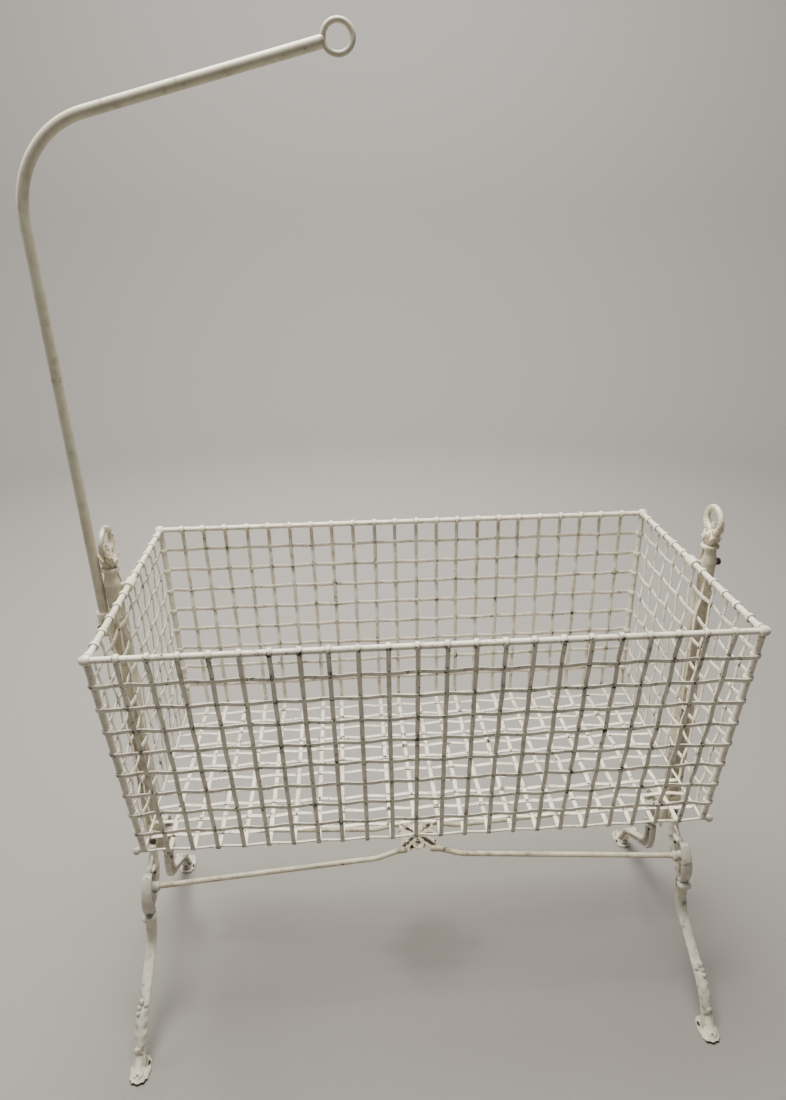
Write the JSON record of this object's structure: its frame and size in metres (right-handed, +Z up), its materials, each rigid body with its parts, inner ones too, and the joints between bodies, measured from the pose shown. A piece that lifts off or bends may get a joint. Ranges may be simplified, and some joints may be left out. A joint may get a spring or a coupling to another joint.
{
  "type": "swinging wire cradle on stand",
  "caption": "Wire-lattice cradle hung between two cast posts with splayed legs, finials, braced stretchers and a bent canopy pole.",
  "frame": {"origin": "on the floor, under the centre of the whole object's box", "axes": "+X along the cradle towards the end without the canopy pole, +Y to the rear, +Z up"},
  "size_m": [1.038, 0.512, 1.5699],
  "materials": {
    "basket_paint": "chipped cream enamel, dark spots at the crossings",
    "stand_paint": "chipped cream enamel with brown grime in the recesses",
    "leg_paint": "cream enamel worn to a grey-green patina, toes worn to dark iron",
    "pole_paint": "dull olive-beige enamel with small chips",
    "bare_iron": "dark, slightly rusted"
  },
  "bodies": {
    "stand": {"left_post": "stand_paint", "right_post": "stand_paint", "left_finial": "stand_paint", "right_finial": "stand_paint", "left_front_leg": "leg_paint", "left_rear_leg": "leg_paint", "right_front_leg": "leg_paint", "right_rear_leg": "leg_paint", "left_leg_bolt": "bare_iron", "right_leg_bolt": "bare_iron", "front_left_stretcher": "stand_paint", "front_right_stretcher": "stand_paint", "rear_left_stretcher": "stand_paint", "rear_right_stretcher": "stand_paint", "stretcher_rosette": "stand_paint", "pole_socket": "stand_paint", "pole_socket_screws": "bare_iron", "pole_clamp_screw": "bare_iron"},
    "basket": {"front_rim_rod": "basket_paint", "front_bottom_rod": "basket_paint", "front_upright_strips": "basket_paint", "front_level_strips": "basket_paint", "rear_rim_rod": "basket_paint", "rear_bottom_rod": "basket_paint", "rear_upright_strips": "basket_paint", "rear_level_strips": "basket_paint", "left_rim_rod": "basket_paint", "left_bottom_rod": "basket_paint", "left_upright_strips": "basket_paint", "left_level_strips": "basket_paint", "right_rim_rod": "basket_paint", "right_bottom_rod": "basket_paint", "right_upright_strips": "basket_paint", "right_level_strips": "basket_paint", "front_left_corner_rod": "basket_paint", "front_right_corner_rod": "basket_paint", "rear_left_corner_rod": "basket_paint", "rear_right_corner_rod": "basket_paint", "rim_corner_collars": "basket_paint", "bottom_corner_knobs": "basket_paint", "floor_cross_strips": "basket_paint", "floor_long_strips": "basket_paint", "left_pivot_pin": "basket_paint", "right_pivot_pin": "basket_paint", "right_pivot_cap": "bare_iron"},
    "canopy_pole": {"canopy_pole_tube": "pole_paint", "canopy_pole_ring": "pole_paint"}
  },
  "joints": [
    {"name": "basket_swing", "type": "hinge", "parent": "stand", "child": "basket", "pos_m": [0.00592, 0, 0.81], "axis": [1, 0, 0], "range_deg": [-30, 30]},
    {"name": "pole_swivel", "type": "hinge", "parent": "stand", "child": "canopy_pole", "pos_m": [-0.49708, 0, 0.73], "axis": [-0.0227, 0, 0.9997], "range_deg": [-90, 90]}
  ]
}
